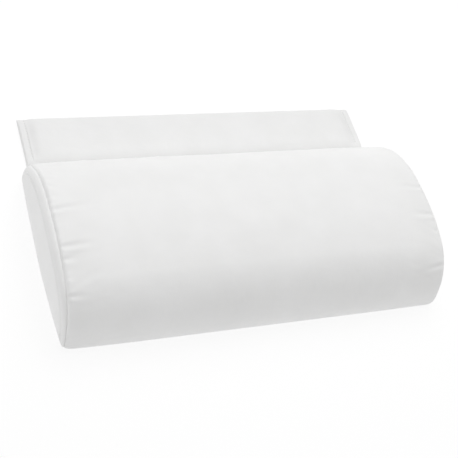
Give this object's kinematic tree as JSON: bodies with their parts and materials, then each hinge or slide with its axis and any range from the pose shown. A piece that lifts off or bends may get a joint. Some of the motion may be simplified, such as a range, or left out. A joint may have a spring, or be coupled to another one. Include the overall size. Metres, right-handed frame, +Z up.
{
  "type": "bolster pillow",
  "caption": "Flat-backed D-section head bolster in a sewn vinyl cover, with a weighted flap that folds over a backrest and a zipped back.",
  "frame": {"origin": "middle of the outer box, on the plane of the flat back that the bolster lies on", "axes": "+X along the bolster, +Y from its lower edge towards the flap, +Z up from the back to the crown"},
  "size_m": [0.457, 0.2994, 0.0785],
  "materials": {
    "cover_vinyl": "matte",
    "foam": "matte",
    "fibre": "matte",
    "thread": "satin",
    "zip_tape": "matte",
    "zip_plastic": "satin",
    "zip_metal": "satin",
    "sleeve_cloth": "matte",
    "weight_steel": "satin"
  },
  "bodies": {
    "bolster": {"main_panel": "cover_vinyl", "end_panel_left": "cover_vinyl", "end_panel_right": "cover_vinyl", "back_panel_upper": "cover_vinyl", "back_panel_lower": "cover_vinyl", "foam_core": "foam", "fibre_wrap": "fibre", "end_topstitch_left": "thread", "end_topstitch_right": "thread", "zip_tape_upper": "zip_tape", "zip_tape_lower": "zip_tape", "zip_teeth_upper": "zip_plastic", "zip_teeth_lower": "zip_plastic", "zip_topstitch_upper": "thread", "zip_topstitch_lower": "thread", "zip_top_stops": "zip_plastic", "zip_bottom_box": "zip_plastic", "flap_root_strip": "cover_vinyl"},
    "flap": {"flap_cover": "cover_vinyl", "flap_foam": "foam", "weight_sleeve": "sleeve_cloth", "weight_1": "weight_steel", "weight_2": "weight_steel", "weight_3": "weight_steel", "weight_4": "weight_steel", "flap_hem_stitch_left": "thread", "flap_hem_stitch_right": "thread", "flap_web_stitch": "thread"},
    "zip_slider": {"zip_slider": "zip_metal"},
    "zip_pull": {"zip_pull": "zip_metal"}
  },
  "joints": [
    {"name": "flap_fold", "type": "hinge", "parent": "bolster", "child": "flap", "pos_m": [0, 0.07419, 0.0006], "axis": [1, 0, 0], "range_deg": [-150, 60]},
    {"name": "zip_slide", "type": "slide", "parent": "bolster", "child": "zip_slider", "axis": [-1, 0, 0], "range_m": [0, 0.374], "deforming": ["zip_teeth_upper", "zip_teeth_lower"]},
    {"name": "pull_swing", "type": "hinge", "parent": "zip_slider", "child": "zip_pull", "pos_m": [0.188, -0.03875, 0.0029], "axis": [0, -1, 0], "range_deg": [0, 175]}
  ]
}
